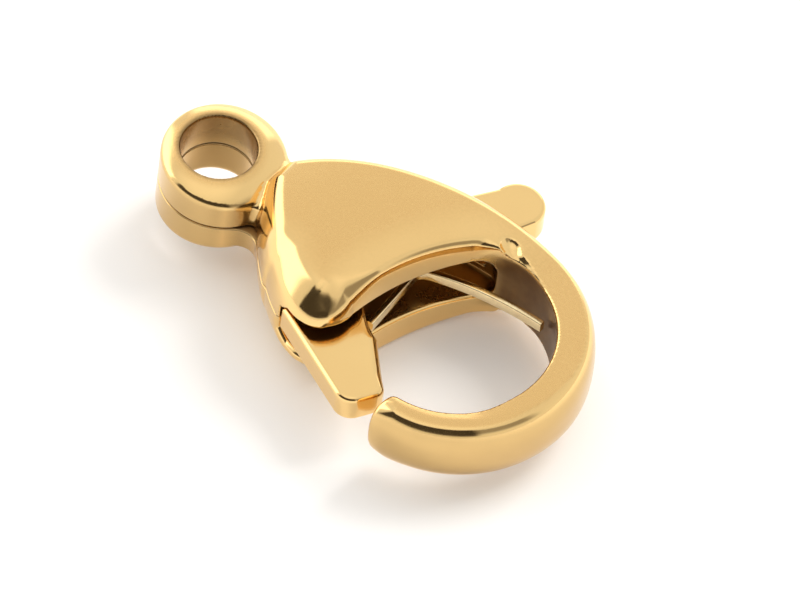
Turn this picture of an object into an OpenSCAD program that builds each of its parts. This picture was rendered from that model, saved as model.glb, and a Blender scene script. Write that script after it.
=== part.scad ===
// Lobster clasp: a sprung hook that closes a necklace or a bracelet.
// Millimetres. The origin is the centre of the ring's hole, halfway through its thickness.
// +X runs from the ring to the hook's nose, +Y to the thumb tab. The clasp is drawn as it
// lies on a table: on its belly, tipped about Y a little towards its nose.

/* [Ring] */
// Diameter of the hole for a jump ring
ring_hole_d = 1.8; // [1.5:0.1:2.2]
// Outer diameter of the ring
ring_d = 3; // [2.8:0.05:3.2]
// How far the ring's outer wall is shifted from its hole towards the shells
ring_shift = 0.16; // [0:0.02:0.3]
// How far it is shifted towards the tab's side
ring_side = 0.04; // [0:0.01:0.1]
// Thickness of the ring beside its hole
ring_t = 2.16; // [1.8:0.02:2.2]
// How much lower the ring's face is at its outer edge
ring_slope = 0.04; // [0:0.01:0.2]
// Rounding of the ring's outer edges
ring_round = 0.25; // [0.1:0.01:0.35]
// Rounding of the hole's rims
hole_round = 0.1; // [0.05:0.01:0.2]

/* [Hook] */
// Distance from the ring's hole to the centre of the hook's bend
hook_x = 7.3; // [6.8:0.1:8]
// Sideways place of the bend's centre
hook_y = -0.12; // [-0.3:0.01:0.2]
// Outer radius of the bend, at its fullest
hook_r = 3.24; // [3:0.01:3.6]
// Thickness of the hook's flat band
hook_t = 1.9; // [1.5:0.1:2.2]
// Radius of the opening inside the bend
eye_r = 2.4; // [2.2:0.01:2.6]
// How far the opening is shifted back from the bend's centre
eye_back = 0.05; // [0:0.01:0.2]
// How far the opening is shifted to the gate's side, which thins the hook to its tip
eye_side = 0.12; // [0:0.01:0.3]
// How far the tip stops past the bend's centre
tip_x = 0.1; // [0.05:0.01:0.3]
// Rounding of the tip's inner corner
tip_round = 0.22; // [0.05:0.01:0.3]
// Slant of the tip's end face, which opens towards the eye
tip_slant = 12; // [0:1:20]

/* [Body] */
// Radius of the long curve along the tab's side
far_r = 7.2; // [6:0.1:9]
// Where that curve leaves the hook's bend, as an angle from +X
far_turn = 80; // [70:1:88]
// Radius of the long curve along the gate's side
near_r = 7; // [6:0.1:9]
// Distance from the ring's hole to the body's back end
back_x = 1.3; // [1.2:0.05:1.6]
// Rounding of the back end's corners
back_r = 0.48; // [0.45:0.01:0.6]
// Thickness over the fullest place of the two domed shells
belly_t = 3.2; // [3:0.1:3.6]
// Distance from the ring's hole to that place
belly_x = 3.6; // [3:0.1:4.2]
// Thickness of the shells at the back end
back_t = 2.3; // [2:0.1:2.8]
// Distance from the ring's hole to where the hook's flat band begins
flat_x = 8.4; // [7.8:0.1:8.8]
// How late the shells fall to that band: 1 is an even fall
fall_late = 2; // [1:0.1:3]
// Fall of the domed faces from the middle line to the edges
crown = 0.3; // [0.1:0.01:0.5]
// Width of the rounding between a domed face and the side wall
shoulder_w = 0.42; // [0.2:0.01:0.44]
// How far the clasp tips towards its nose as it lies on its belly
rest_tip = 1.8; // [0:0.1:8]
// Width of the barrel rounding along the hook's outer wall
barrel_w = 0.4; // [0.1:0.01:0.5]

/* [Cavity] */
// Thickness of the shells' side walls
wall = 0.72; // [0.5:0.01:0.9]
// Height of the space between the shells
cavity_t = 1.35; // [1.1:0.01:1.6]
// Distance from the ring's hole to the cavity's back wall
cavity_x = 2.3; // [2:0.1:2.5]
// Rounding of the cavity's back corners
cavity_r = 0.4; // [0.2:0.01:0.6]

/* [Mouth] */
// Radius of the shells' rounded nose beside the gate
nose_r = 0.88; // [0.6:0.01:1]
// Place of the nose's centre along the clasp
nose_x = 4.38; // [4.2:0.02:4.6]
// How far the nose lies inside the side wall's curve
nose_inset = 0.14; // [0.03:0.01:0.2]
// Radius of the curve that leads the side wall into the nose
nose_lead_r = 3; // [2:0.1:4]
// Distance from the ring's hole to where the side wall begins to rise off the lever
rise_x = 3.7; // [3.6:0.02:4]
// Slope of that rise
rise_slope = 40; // [30:1:60]
// Radius of the mouth's inner corner, beside the hook's root
corner_r = 1.25; // [1:0.01:1.4]
// Where that corner leaves the eye, as an angle from +X
corner_turn = 85; // [75:1:95]
// Radius of the mouth's long hollow edge
mouth_r = 6; // [4:0.1:12]
// Where that edge meets the corner, as an angle from +X
mouth_turn = 148; // [140:1:155]
// Radius of the dent where the mouth's inner corner meets the hook's face
dent_r = 0.46; // [0.2:0.01:0.6]
// Place of the dent round that corner, as an angle from +X
dent_turn = 105; // [95:1:115]

/* [Lever] */
// Thickness of the lever
lever_t = 0.8; // [0.6:0.02:0.9]
// Place of the pivot along the clasp
pivot_x = 3.4; // [3.3:0.02:3.5]
// Place of the pivot across the clasp
pivot_y = 0.4; // [0.3:0.02:0.5]
// Radius of the lever's eye around the pivot
lever_eye_r = 0.84; // [0.6:0.01:0.9]
// Radius of the thumb tab's round end
tab_r = 0.65; // [0.5:0.01:0.75]
// Place of the tab's end along the clasp
tab_x = 5.92; // [5.7:0.02:6]
// Place of the tab's end across the clasp
tab_y = 3.86; // [3.7:0.02:4.1]
// Direction in which the tab's round end begins, as an angle from +X
tab_start_turn = -10; // [-20:1:0]
// Direction in which it ends
tab_end_turn = 175; // [165:1:185]
// Where the tab leaves the lever's eye, as an angle about the pivot
tab_neck_turn = 90; // [85:1:100]
// Place along the clasp where the tab's hollow edge starts
tab_root_x = 4.2; // [4:0.05:4.4]
// Place of that start across the clasp
tab_root_y = 2.2; // [2.1:0.05:2.4]
// Radius of the gate's outer end corner
gate_r = 0.46; // [0.3:0.02:0.5]
// Place of that corner's centre along the clasp
gate_x = 6.36; // [6.2:0.02:6.46]
// Radius of the gate's inner end corner
gate_inner_r = 0.24; // [0.15:0.01:0.35]
// Distance between the centres of the two end corners
gate_end_w = 0.5; // [0.4:0.02:0.6]
// Direction from the outer corner to the inner corner, as an angle from +X
gate_end_turn = 35; // [25:1:60]
// Slant of the gate's straight outer side
gate_slant = 22.8; // [21:0.2:24]
// Place of the lever's heel along the clasp
heel_x = 3.75; // [3.4:0.05:4]
// How far the gate's end corner lies inside the curve of the shells' side wall
gate_inset = 0.04; // [0.02:0.01:0.15]
// Place of the knee on the gate's inner side, along the clasp
knee_x = 5.9; // [5.7:0.05:6]
// Place of the knee across the clasp
knee_y = -1.3; // [-1.5:0.05:-1.2]
// Radius of the hollow between the gate and the tab, which holds the spring
crotch_r = 2.1; // [2.06:0.01:2.3]
// Place of that hollow's end on the tab, along the clasp
crotch_x = 6.15; // [6:0.05:6.2]
// Place of that end across the clasp
crotch_y = 2.75; // [2.6:0.05:2.9]
// How far the gate can swing in
gate_swing = 25; // [10:1:28]

/* [Pivot pin] */
// Diameter of the hidden pin
pin_d = 0.7; // [0.5:0.05:0.9]
// How deep the pin sits in each shell
pin_seat = 0.4; // [0.2:0.05:0.5]

/* [Spring] */
// Thickness of the leaf
leaf_t = 0.16; // [0.1:0.01:0.2]
// Width of the leaf
leaf_w = 0.3; // [0.2:0.05:0.6]
// Radius of the leaf's bend, at the middle of its thickness
bend_r = 0.28; // [0.2:0.01:0.35]
// Place of the bend's centre along the clasp
bend_x = 5.56; // [5.46:0.02:5.66]
// Place of the bend's centre across the clasp
bend_y = 0.86; // [0.7:0.02:0.94]
// Direction of the leg on the hook's side, as an angle from +X
hook_leg_turn = 13; // [11:1:16]
// Direction of the leg on the gate's side, as an angle from +X
gate_leg_turn = -85; // [-88:1:-80]

/* [Seam] */
// Width of the hairline seam between the two halves
seam_w = 0.07; // [0.04:0.01:0.12]
// Depth of the seam
seam_d = 0.16; // [0.08:0.01:0.25]

/* [Neck] */
// Thickness of the web in the corners between the ring and the shells
web_t = 1.5; // [1:0.05:1.6]
// Fillet of those corners on the lower half
web_fillet = 0.75; // [0.5:0.05:1]
// Fillet of those corners on the upper half, which leaves a ledge along the seam
upper_fillet = 0.3; // [0.1:0.05:0.4]

/* [Clearances] */
// Gap all round the pin in its seats
seat_gap = 0.01; // [0.01:0.005:0.03]
// Gap all round the pin in the lever
pin_gap = 0.04; // [0.02:0.01:0.08]
// Gap above and below the lever
lever_gap = 0.05; // [0.03:0.01:0.1]
// Gap between the lever and the ends of its slots, as an angle about the pivot
slot_gap = 3; // [3:0.5:8]
// Gap at the ends of the spring's legs
leaf_gap = 0.04; // [0.02:0.01:0.1]

/* [Hidden] */

gold = [0.86, 0.66, 0.33];
steel = [0.75, 0.73, 0.7];

// Facets of the round stretches that are drawn as points
arc_step = 6;
rim_step = 15;
shoulder_steps = 5;
cap_steps = 5;
// Exponent that fills out the skin's rounding a little more than a quarter of an ellipse
skin_fill = 0.8;
$fn = 64;
// Length past a face, for clean cuts
past = 1;

hook_c = [hook_x, hook_y];
eye_c = hook_c - [eye_back, eye_side];
far_c = hook_c - (far_r - hook_r) * [cos(far_turn), sin(far_turn)];
near_c = hook_c + [0, near_r - hook_r];
pivot = [pivot_x, pivot_y];
tab_c = [tab_x, tab_y];
knee = [knee_x, knee_y];
bend_c = [bend_x, bend_y];
pin_r = pin_d / 2;
corner_c = eye_c + (eye_r - corner_r) * [cos(corner_turn), sin(corner_turn)];
ring_r = ring_d / 2;
ring_c = [ring_shift, ring_side];
flat_t = hook_t / 2;

// Points on an arc about c from angle a to angle b, both ends included
function arc(c, r, a, b, step = arc_step) =
    let (n = max(1, ceil(abs(b - a) / step)))
    [for (i = [0:n]) c + r * [cos(a + (b - a) * i / n), sin(a + (b - a) * i / n)]];

function direction(v) = (atan2(v[1], v[0]) + 360) % 360;
function smooth(t) = let (s = min(1, max(0, t))) s * s * (3 - 2 * s);

// Centre of a corner of radius r that touches the back line at x and a long side curve
function far_corner(x, r, inset) =
    [x + r, far_c[1] + sqrt(pow(far_r - inset - r, 2) - pow(x + r - far_c[0], 2))];
function near_corner(x, r, inset) =
    [x + r, near_c[1] - sqrt(pow(near_r - inset - r, 2) - pow(x + r - near_c[0], 2))];

nose_c = near_corner(nose_x - nose_r, nose_r, nose_inset);

// The pear outline of shells and hook: bend, far side, back end and near side. It is moved
// inwards by inset, its back line stands at x, and its back corners have radius r.
function outline(inset, x, r, far = far_corner(back_x, back_r, 0),
                 near = near_corner(back_x, back_r, 0)) =
    let (a_far = direction(far - far_c), a_near = direction(near - near_c))
    concat(
        arc(hook_c, hook_r - inset, -90, far_turn),
        arc(far_c, far_r - inset, far_turn, a_far, arc_step / 2),
        arc(far, r, a_far, 180, rim_step),
        arc(near, r, 180, a_near, rim_step),
        arc(near_c, near_r - inset, a_near, 270, arc_step / 2)
    );
shell_outline = outline(0, back_x, back_r);

// Half thickness of the body along its middle line: a quick rise from the back end, the
// belly, then a slow fall to the hook's flat band
function middle_z(x) =
    let (rise = min(1, max(0, (belly_x - x) / (belly_x - back_x))))
    x < belly_x
        ? back_t / 2 + (belly_t - back_t) / 2 * sqrt(1 - rise * rise)
        : belly_t / 2 + (flat_t - belly_t / 2) * (1 - domed(x));

// How much of the domed shell is left at x: 1 on the shells and 0 on the hook
function domed(x) = 1 - smooth(pow(max(0, x - belly_x) / (flat_x - belly_x), fall_late));
function face_z(p) =
    let (across = (p[1] - hook_y) / hook_r)
    middle_z(p[0]) - crown * domed(p[0]) * across * across;
function rounding(x) = barrel_w + (shoulder_w - barrel_w) * domed(x);

// One level of the body's skin: step 0 is the mid-plane, shoulder_steps the end of the
// rounding, and from there on the points draw in to the middle
middle = [(back_x + hook_x) / 2, hook_y / 2];
function skin_level(step) =
    let (a = 90 * min(1, step / shoulder_steps),
         pull = max(0, step - shoulder_steps) / cap_steps)
    [for (p = skin_base())
        let (w = rounding(p[0][0]),
             q = p[0] - p[1] * w * (1 - cos(a)),
             m = q + (middle - q) * pull)
        [m[0], m[1], face_z(m) * pow(sin(a), skin_fill)]];

// The outline's points with their outward normals
function skin_base() =
    let (inner = outline(0.1, back_x, back_r - 0.1))
    [for (i = [0:len(shell_outline) - 1])
        let (v = shell_outline[i] - inner[i]) [shell_outline[i], v / norm(v)]];

module skin() {
    n = len(shell_outline);
    levels = shoulder_steps + cap_steps;
    top = [for (s = [0:levels - 1]) each skin_level(s)];
    under = [for (s = [1:levels - 1]) each [for (p = skin_level(s)) [p[0], p[1], -p[2]]]];
    poles = [[middle[0], middle[1], face_z(middle)], [middle[0], middle[1], -face_z(middle)]];
    // Index of point i on level s, where the levels below the mid-plane are negative
    function at(s, i) = s >= 0 ? s * n + i % n : (levels - 1 - s) * n + i % n;
    up_pole = (2 * levels - 1) * n;
    polyhedron(concat(top, under, poles), concat(
        [for (s = [0:levels - 2], i = [0:n - 1]) [at(s, i), at(s + 1, i), at(s + 1, i + 1)]],
        [for (s = [0:levels - 2], i = [0:n - 1]) [at(s, i), at(s + 1, i + 1), at(s, i + 1)]],
        [for (s = [0:levels - 2], i = [0:n - 1]) [at(-s, i), at(-s - 1, i + 1), at(-s - 1, i)]],
        [for (s = [0:levels - 2], i = [0:n - 1]) [at(-s, i), at(-s, i + 1), at(-s - 1, i + 1)]],
        [for (i = [0:n - 1]) [at(levels - 1, i), up_pole, at(levels - 1, i + 1)]],
        [for (i = [0:n - 1]) [at(1 - levels, i + 1), up_pole + 1, at(1 - levels, i)]]
    ), convexity = 4);
}

// The eye of the hook, the mouth of the shells and the gap that the gate closes, as one
// outline: round the nose, up the mouth's hollow edge, round its inner corner and round
// the eye to the tip
eye_end = acos((hook_x + tip_x - eye_c[0]) / eye_r);
nose_end = 370;
// The tip's rounded corner touches the eye and the tip's slanted face
tip_turn = -tip_slant
    - acos((eye_r * cos(eye_end - tip_slant) + tip_round) / (eye_r + tip_round));
tip_c = eye_c + (eye_r + tip_round) * [cos(tip_turn), sin(tip_turn)];
mouth_low = nose_c + nose_r * [cos(nose_end), sin(nose_end)];
mouth_high = corner_c + corner_r * [cos(mouth_turn), sin(mouth_turn)];

// The leading curve lies between the side wall's circle and the nose's circle, tangent to
// both. Its centre comes from the triangle of the three centres.
lead_wall = near_r + seam_w / 4 - nose_lead_r;
lead_nose = nose_lead_r - nose_r;
lead_side = norm(nose_c - near_c);
lead_turn = direction(nose_c - near_c)
    - acos((pow(lead_side, 2) + pow(lead_wall, 2) - pow(lead_nose, 2)) / (2 * lead_side * lead_wall));
lead_c = near_c + lead_wall * [cos(lead_turn), sin(lead_turn)];
lead_start = lead_c + nose_lead_r * [cos(lead_turn), sin(lead_turn)];
function hollow(a, b, r) =
    let (chord = b - a, half = norm(chord) / 2, side = [-chord[1], chord[0]] / norm(chord),
         c = (a + b) / 2 - side * sqrt(r * r - half * half))
    arc(c, r, direction(a - c), direction(b - c));
module opening_2d() {
    outside = hook_c - [0, hook_r + past];
    polygon(concat(
        [outside + [tip_x - (hook_r - eye_r + past) * tan(tip_slant), 0]],
        [[lead_start[0], outside[1]]],
        arc(lead_c, nose_lead_r, lead_turn, direction(nose_c - lead_c)),
        arc(nose_c, nose_r, direction(nose_c - lead_c) + arc_step, nose_end, rim_step),
        hollow(mouth_low, mouth_high, mouth_r),
        arc(corner_c, corner_r, mouth_turn, corner_turn + arc_step, rim_step),
        arc(eye_c, eye_r, corner_turn, tip_turn),
        arc(tip_c, tip_round, tip_turn + 180, 180 - tip_slant, rim_step)
    ));
}

module cavity_2d() {
    polygon(outline(wall, cavity_x, cavity_r,
                    far_corner(cavity_x, cavity_r, wall), near_corner(cavity_x, cavity_r, wall)));
}

// Wedge of the plan seen from the pivot between the angles a and b, short of the hook's tip
module wedge_2d(a, b) {
    r = (norm(tab_c - pivot) + norm(gate_c - pivot)) / 2;
    polygon(concat([pivot], arc(pivot, r, a, b, rim_step)));
}

// Slots for the lever through the shells' side walls, from its rest to its full swing.
// Under the nose the gate's slot rises to the cavity's height.
module lever_slots() {
    h = lever_t + 2 * lever_gap;
    a_heel = direction(heel - pivot) - slot_gap;
    a_mouth = direction(mouth_low - pivot) + slot_gap;
    translate([0, 0, -h / 2]) linear_extrude(h) {
        wedge_2d(direction(crotch_end - pivot) - slot_gap,
                 tab_neck_turn + gate_swing + slot_gap);
        wedge_2d(a_heel, a_mouth);
    }
    for (side = [0, 1]) mirror([0, 0, side]) intersection() {
        linear_extrude(cavity_t / 2) wedge_2d(a_heel, a_mouth);
        translate([rise_x, -hook_r - past, h / 2]) rotate([0, -rise_slope, 0])
            translate([0, 0, -hook_r]) cube(hook_r + past);
    }
}

module ring_2d() { translate(ring_c) circle(ring_r); }

// Plan of the web that fills the corners between the ring and the shells
module web_2d(fillet) {
    intersection() {
        offset(r = -fillet) offset(r = fillet) {
            ring_2d();
            polygon(shell_outline);
        }
        translate([0, -ring_r]) square([cavity_x, 2 * ring_r]);
    }
}

// The ring as a disc: a face that slopes outwards from the hole, and a round outer edge
module ring_disc() {
    top = ring_t / 2;
    low = top - ring_slope;
    for (side = [0, 1]) mirror([0, 0, side]) translate(ring_c) rotate_extrude() polygon(concat(
        [[0, 0], [0, top], [ring_hole_d / 2, top]],
        arc([ring_r - ring_round, low - ring_round], ring_round, 75, 0, rim_step),
        [[ring_r, 0]]
    ));
}

// The ring's hole with its rounded rims
module ring_hole() {
    r = ring_hole_d / 2;
    cylinder(r = r, h = ring_t + past, center = true);
    for (side = [0, 1]) mirror([0, 0, side])
        translate([0, 0, ring_t / 2 - hole_round])
            cylinder(r1 = r, r2 = r + 2 * hole_round, h = 2 * hole_round);
}

// The hairline between the two halves, open to the outside and to the ring's hole
module seam() {
    translate([0, 0, -seam_w / 2]) linear_extrude(seam_w) {
        difference() {
            translate([-ring_r - past, -hook_r - past])
                square([pivot_x + ring_r + past, 2 * (hook_r + past)]);
            offset(delta = -seam_d) {
                ring_2d();
                web_2d(upper_fillet);
                polygon(shell_outline);
            }
        }
        circle(ring_hole_d / 2 + seam_d);
    }
}

// Blind seats for the pivot pin in both shells
module pin_seats() {
    translate(pivot) cylinder(r = pin_r + seat_gap, h = cavity_t + 2 * pin_seat, center = true);
}

// Small dents where the domed faces drop to the hook's flat band beside the mouth
module dents() {
    c = corner_c + corner_r * [cos(dent_turn), sin(dent_turn)];
    for (side = [-1, 1]) translate([c[0], c[1], side * (flat_t + dent_r)]) sphere(dent_r);
}

module body() {
    color(gold) difference() {
        union() {
            difference() {
                skin();
                translate([0, 0, -belly_t]) linear_extrude(2 * belly_t) opening_2d();
                translate([0, 0, -cavity_t / 2]) linear_extrude(cavity_t) intersection() {
                    cavity_2d();
                    translate([0, -hook_r]) square([cavity_end, 2 * hook_r]);
                }
            }
            ring_disc();
            linear_extrude(web_t / 2) web_2d(upper_fillet);
            translate([0, 0, -web_t / 2]) linear_extrude(web_t / 2) web_2d(web_fillet);
        }
        lever_slots();
        ring_hole();
        seam();
        pin_seats();
        dents();
    }
}
cavity_end = corner_c[0] - corner_r / 2;

// Corner places of the lever
gate_c = near_corner(gate_x - gate_r, gate_r, gate_inset);
gate_inner_c = gate_c + gate_end_w * [cos(gate_end_turn), sin(gate_end_turn)];
gate_side = gate_c - gate_r * [sin(gate_slant), cos(gate_slant)];
heel = gate_side + (gate_side[0] - heel_x) * [-1, tan(gate_slant)];
tab_root = [tab_root_x, tab_root_y];
crotch_end = [crotch_x, crotch_y];

// Directions in which the gate's end face and its back look: each touches the end's corners
gate_face_turn = gate_end_turn - acos((gate_r - gate_inner_r) / gate_end_w);
gate_back_turn = direction(knee - gate_inner_c)
    - acos(gate_inner_r / norm(knee - gate_inner_c));

module lever_2d() {
    polygon(concat(
        [heel],
        arc(gate_c, gate_r, 270 - gate_slant, 360 + gate_face_turn, rim_step),
        arc(gate_inner_c, gate_inner_r, gate_face_turn, gate_back_turn, rim_step),
        hollow(knee, crotch_end, crotch_r),
        arc(tab_c, tab_r, tab_start_turn, tab_end_turn, rim_step),
        [tab_root],
        arc(pivot, lever_eye_r, tab_neck_turn, direction(heel - pivot), rim_step)
    ));
}

module lever() {
    color(gold) difference() {
        translate([0, 0, -lever_t / 2]) linear_extrude(lever_t) lever_2d();
        translate(pivot) cylinder(r = pin_r + pin_gap, h = lever_t + past, center = true);
    }
}

module pivot_pin() {
    color(steel) translate(pivot)
        cylinder(r = pin_r, h = cavity_t + 2 * (pin_seat - seat_gap), center = true);
}

// Length from a along the direction turn to the circle of radius r about c, met from inside
function reach(a, turn, c, r) =
    let (u = [cos(turn), sin(turn)], v = a - c, b = v * u)
    sqrt(b * b - v * v + r * r) - b;

module spring() {
    hook_u = [cos(hook_leg_turn), sin(hook_leg_turn)];
    hook_n = [-hook_u[1], hook_u[0]];
    gate_u = [cos(gate_leg_turn), sin(gate_leg_turn)];
    gate_n = [gate_u[1], -gate_u[0]];
    half = leaf_t / 2;
    hook_l = reach(bend_c + (bend_r + half) * hook_n, hook_leg_turn, eye_c, eye_r - leaf_gap);
    gate_l = reach(bend_c + (bend_r + half) * gate_n, gate_leg_turn, crotch_c, crotch_r - leaf_gap);
    outer = arc(bend_c, bend_r + half, hook_leg_turn + 90, 360 + gate_leg_turn - 90, rim_step);
    inner = arc(bend_c, bend_r - half, 360 + gate_leg_turn - 90, hook_leg_turn + 90, rim_step);
    color(steel) translate([0, 0, -leaf_w / 2]) linear_extrude(leaf_w) polygon(concat(
        [bend_c + (bend_r + half) * hook_n + hook_l * hook_u],
        outer,
        [bend_c + (bend_r + half) * gate_n + gate_l * gate_u,
         bend_c + (bend_r - half) * gate_n + gate_l * gate_u],
        inner,
        [bend_c + (bend_r - half) * hook_n + hook_l * hook_u]
    ));
}
crotch_c = (knee + crotch_end) / 2
    + sqrt(pow(crotch_r, 2) - pow(norm(crotch_end - knee) / 2, 2))
    * [crotch_end[1] - knee[1], knee[0] - crotch_end[0]] / norm(crotch_end - knee);

module at_rest() { rotate([0, rest_tip, 0]) children(); }

at_rest() body();
at_rest() lever();
at_rest() pivot_pin();
at_rest() spring();
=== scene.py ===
"""Dressing of a gold plated lobster clasp: smooth shells, lever and spring over its solids.

Sizes in the classes are millimetres in the clasp's own flat plane: the origin is the centre
of the ring's hole, X runs to the hook's nose, Y to the thumb tab and Z out of the upper
shell. The finished meshes are metres in the part's frame, where the clasp lies tipped on
its belly.
"""

import logging
import math
from dataclasses import dataclass, field
from enum import Enum
from typing import Callable, Sequence

import bpy
import numpy as np
from mathutils import Matrix, Vector

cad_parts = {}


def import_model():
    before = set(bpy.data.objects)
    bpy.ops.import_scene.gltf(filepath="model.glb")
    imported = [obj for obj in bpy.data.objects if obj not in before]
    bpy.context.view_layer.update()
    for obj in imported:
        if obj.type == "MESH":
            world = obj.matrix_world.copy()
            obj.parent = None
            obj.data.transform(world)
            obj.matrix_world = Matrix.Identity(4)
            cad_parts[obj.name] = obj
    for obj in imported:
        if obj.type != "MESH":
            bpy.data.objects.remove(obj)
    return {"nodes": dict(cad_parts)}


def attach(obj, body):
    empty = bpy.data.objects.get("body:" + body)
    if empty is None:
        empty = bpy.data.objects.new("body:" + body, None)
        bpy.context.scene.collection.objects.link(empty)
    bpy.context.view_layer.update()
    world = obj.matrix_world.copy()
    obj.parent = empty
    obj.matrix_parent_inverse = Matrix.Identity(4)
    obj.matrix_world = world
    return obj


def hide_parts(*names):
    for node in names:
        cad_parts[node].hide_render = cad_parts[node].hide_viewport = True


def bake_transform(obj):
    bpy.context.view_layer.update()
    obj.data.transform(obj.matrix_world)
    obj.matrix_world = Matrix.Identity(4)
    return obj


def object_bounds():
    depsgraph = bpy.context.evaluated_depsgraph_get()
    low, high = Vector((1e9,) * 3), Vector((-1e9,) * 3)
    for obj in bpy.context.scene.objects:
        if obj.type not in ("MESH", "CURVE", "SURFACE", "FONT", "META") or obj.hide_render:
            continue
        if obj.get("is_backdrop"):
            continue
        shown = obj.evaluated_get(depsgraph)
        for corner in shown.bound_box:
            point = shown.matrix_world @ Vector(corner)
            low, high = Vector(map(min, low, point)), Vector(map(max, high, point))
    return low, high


Array = np.ndarray
Field = Callable[[Array, Array, Array], Array]
log = logging.getLogger("clasp")


class Share(Enum):
    """The numbers from 0 to 1 that a mesh carries for its finish and its painted shade, by
    attribute name.
    """

    SATIN = "satin"
    # SHADE is painted shade: it darkens the colour in hollows and on some walls, and makes them
    # rougher
    SHADE = "shade"
    SEAM = "seam"


# Plane geometry


def direction(v: Array) -> float:
    """Direction of a plane vector in degrees, from 0 to 360."""
    return math.degrees(math.atan2(v[1], v[0])) % 360


def toward(angle: float) -> Array:
    """Unit plane vector at an angle in degrees."""
    return np.array([math.cos(math.radians(angle)), math.sin(math.radians(angle))])


def angle_of(cosine: float) -> float:
    """The angle in degrees that has this cosine."""
    return math.degrees(math.acos(cosine))


def mixed(a: Array | float, b: Array | float, share: Array) -> Array:
    """The value a where share is 0, b where it is 1, and even between."""
    return a + (b - a) * share


@dataclass(frozen=True)
class Arc:
    """A stretch of an outline on a circle, run from angle a to angle b in degrees."""

    centre: Array
    radius: float
    a: float
    b: float

    def ends(self) -> tuple[Array, Array]:
        """First and last point."""
        a, b = toward(self.a), toward(self.b)
        return self.centre + self.radius * a, self.centre + self.radius * b

    def normals(self) -> tuple[Array, Array]:
        """Outward normals at the first and last point."""
        side = 1 if self.b > self.a else -1
        return side * toward(self.a), side * toward(self.b)

    def distance(self, x: Array, y: Array) -> tuple[Array, Array]:
        """Signed distance from the circle, and whether the nearest point is on the stretch.

        Args:
            x: first coordinates of the points.
            y: second coordinates.

        Returns:
            The distances and the answers, in the shape of x.
        """
        dx, dy = x - self.centre[0], y - self.centre[1]
        low, high = min(self.a, self.b), max(self.a, self.b)
        turn = (np.degrees(np.arctan2(dy, dx)) - low) % 360
        side = 1 if self.b > self.a else -1
        return side * (np.hypot(dx, dy) - self.radius), turn <= high - low + 1e-6


@dataclass(frozen=True)
class Line:
    """A straight stretch of an outline from p to q."""

    p: Array
    q: Array

    def ends(self) -> tuple[Array, Array]:
        """First and last point."""
        return self.p, self.q

    def normals(self) -> tuple[Array, Array]:
        """Outward normals at the first and last point.

        Returns:
            The two normals, which are the same.
        """
        d = (self.q - self.p) / np.linalg.norm(self.q - self.p)
        n = np.array([d[1], -d[0]])
        return n, n

    def distance(self, x: Array, y: Array) -> tuple[Array, Array]:
        """Signed distance from the line, and whether the nearest point is on the stretch.

        Args:
            x: first coordinates of the points.
            y: second coordinates.

        Returns:
            The distances and the answers, in the shape of x.
        """
        d = self.q - self.p
        length = float(np.linalg.norm(d))
        d = d / length
        dx, dy = x - self.p[0], y - self.p[1]
        along = dx * d[0] + dy * d[1]
        return dx * d[1] - dy * d[0], (along >= 0) & (along <= length)


@dataclass(frozen=True)
class Outline:
    """A closed plane outline, run counter-clockwise: each part starts where the last one ends."""

    parts: list[Arc | Line]

    def distance(self, x: Array, y: Array) -> Array:
        """Signed distance of points from the outline, negative inside.

        Args:
            x: first coordinates.
            y: second coordinates.

        Returns:
            The distances, in the shape of x.
        """
        best = np.full(x.shape, 1e9)
        for part in self.parts:
            d, near = part.distance(x, y)
            best = np.where(near & (np.abs(d) < np.abs(best)), d, best)
        for part, after in zip(self.parts, self.parts[1:] + self.parts[:1]):
            corner = part.ends()[1]
            n = part.normals()[1] + after.normals()[0]
            dx, dy = x - corner[0], y - corner[1]
            d = np.hypot(dx, dy)
            side = np.where(dx * n[0] + dy * n[1] > 0, 1.0, -1.0)
            best = np.where(d < np.abs(best) - 1e-7, side * d, best)
        return best


# Blends of signed distances


def round_min(a: Array, b: Array, r: Array | float) -> Array:
    """Union of two solids with a fillet of radius r between them."""
    u, v = np.maximum(r - a, 0), np.maximum(r - b, 0)
    return np.maximum(r, np.minimum(a, b)) - np.hypot(u, v)


def round_max(a: Array, b: Array, r: Array | float) -> Array:
    """Intersection of two solids with their common edge rounded to radius r."""
    u, v = np.maximum(r + a, 0), np.maximum(r + b, 0)
    return np.minimum(-r, np.maximum(a, b)) + np.hypot(u, v)


def soft_min(a: Array, b: Array, k: float) -> Array:
    """The smaller of two distances, without a crease deep inside and exact at their ends.

    Args:
        a: one distance.
        b: the other.
        k: how far apart they may be and still blend.

    Returns:
        The blend.
    """
    low = np.minimum(a, b)
    reach = np.clip(1.5 * low, 1e-6, k)
    near = np.clip(1 - np.abs(a - b) / reach, 0, 1)
    return low - reach * near * near / 4


@dataclass(frozen=True)
class Ease:
    """A soft step in a coordinate: 0 up to start and 1 from end on, either way round."""

    start: float
    end: float

    def __call__(self, t: Array) -> Array:
        """How far the step has come at t."""
        s = np.clip((t - self.start) / (self.end - self.start), 0, 1)
        return s * s * (3 - 2 * s)


# Sizes and solids


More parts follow.
